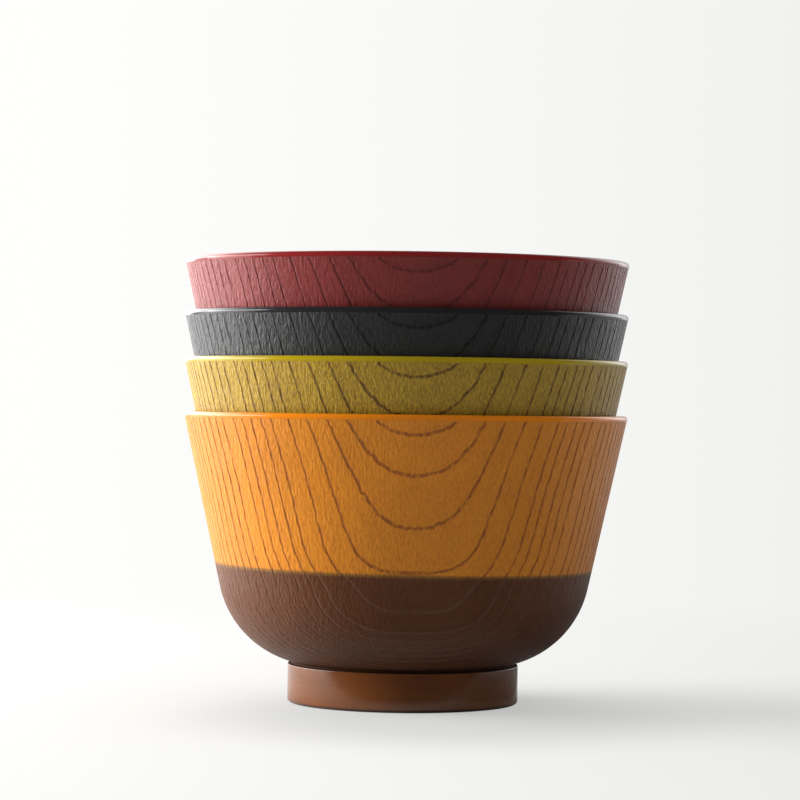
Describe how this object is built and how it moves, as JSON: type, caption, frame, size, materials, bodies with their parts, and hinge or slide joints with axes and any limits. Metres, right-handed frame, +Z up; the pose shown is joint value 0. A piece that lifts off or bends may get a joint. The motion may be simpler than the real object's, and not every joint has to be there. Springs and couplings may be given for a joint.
{
  "type": "nesting soup bowl stack",
  "caption": "Stack of nesting footed soup bowls in lacquered two-tone wood grain; each bowl lifts straight out of the one below.",
  "frame": {"origin": "centre of the lowest bowl's foot ring, on the surface that the stack stands on", "axes": "+Z up the common axis of the bowls; -Y towards the viewer of the picture, whose grain arcs face it"},
  "size_m": [0.112, 0.112, 0.1115],
  "materials": {
    "orange_lacquer": "satin mustard-orange lacquer over engraved grain, gloss lip and inside, brown below the parting line",
    "olive_lacquer": "satin olive lacquer over engraved grain, gloss yellow-green lip and inside, brown below the parting line",
    "black_lacquer": "satin charcoal-black lacquer over engraved grain, gloss lip and inside, brown below the parting line",
    "red_lacquer": "satin wine-red lacquer over engraved grain, gloss lip and inside, brown below the parting line"
  },
  "bodies": {
    "orange_bowl": {"orange_bowl": "orange_lacquer"},
    "olive_bowl": {"olive_bowl": "olive_lacquer"},
    "black_bowl": {"black_bowl": "black_lacquer"},
    "red_bowl": {"red_bowl": "red_lacquer"}
  },
  "joints": [
    {"name": "lift_olive_bowl", "type": "slide", "parent": "orange_bowl", "child": "olive_bowl", "axis": [0, 0, 1], "range_m": [0, 0.075]},
    {"name": "lift_black_bowl", "type": "slide", "parent": "olive_bowl", "child": "black_bowl", "axis": [0, 0, 1], "range_m": [0, 0.075]},
    {"name": "lift_red_bowl", "type": "slide", "parent": "black_bowl", "child": "red_bowl", "axis": [0, 0, 1], "range_m": [0, 0.075]}
  ]
}
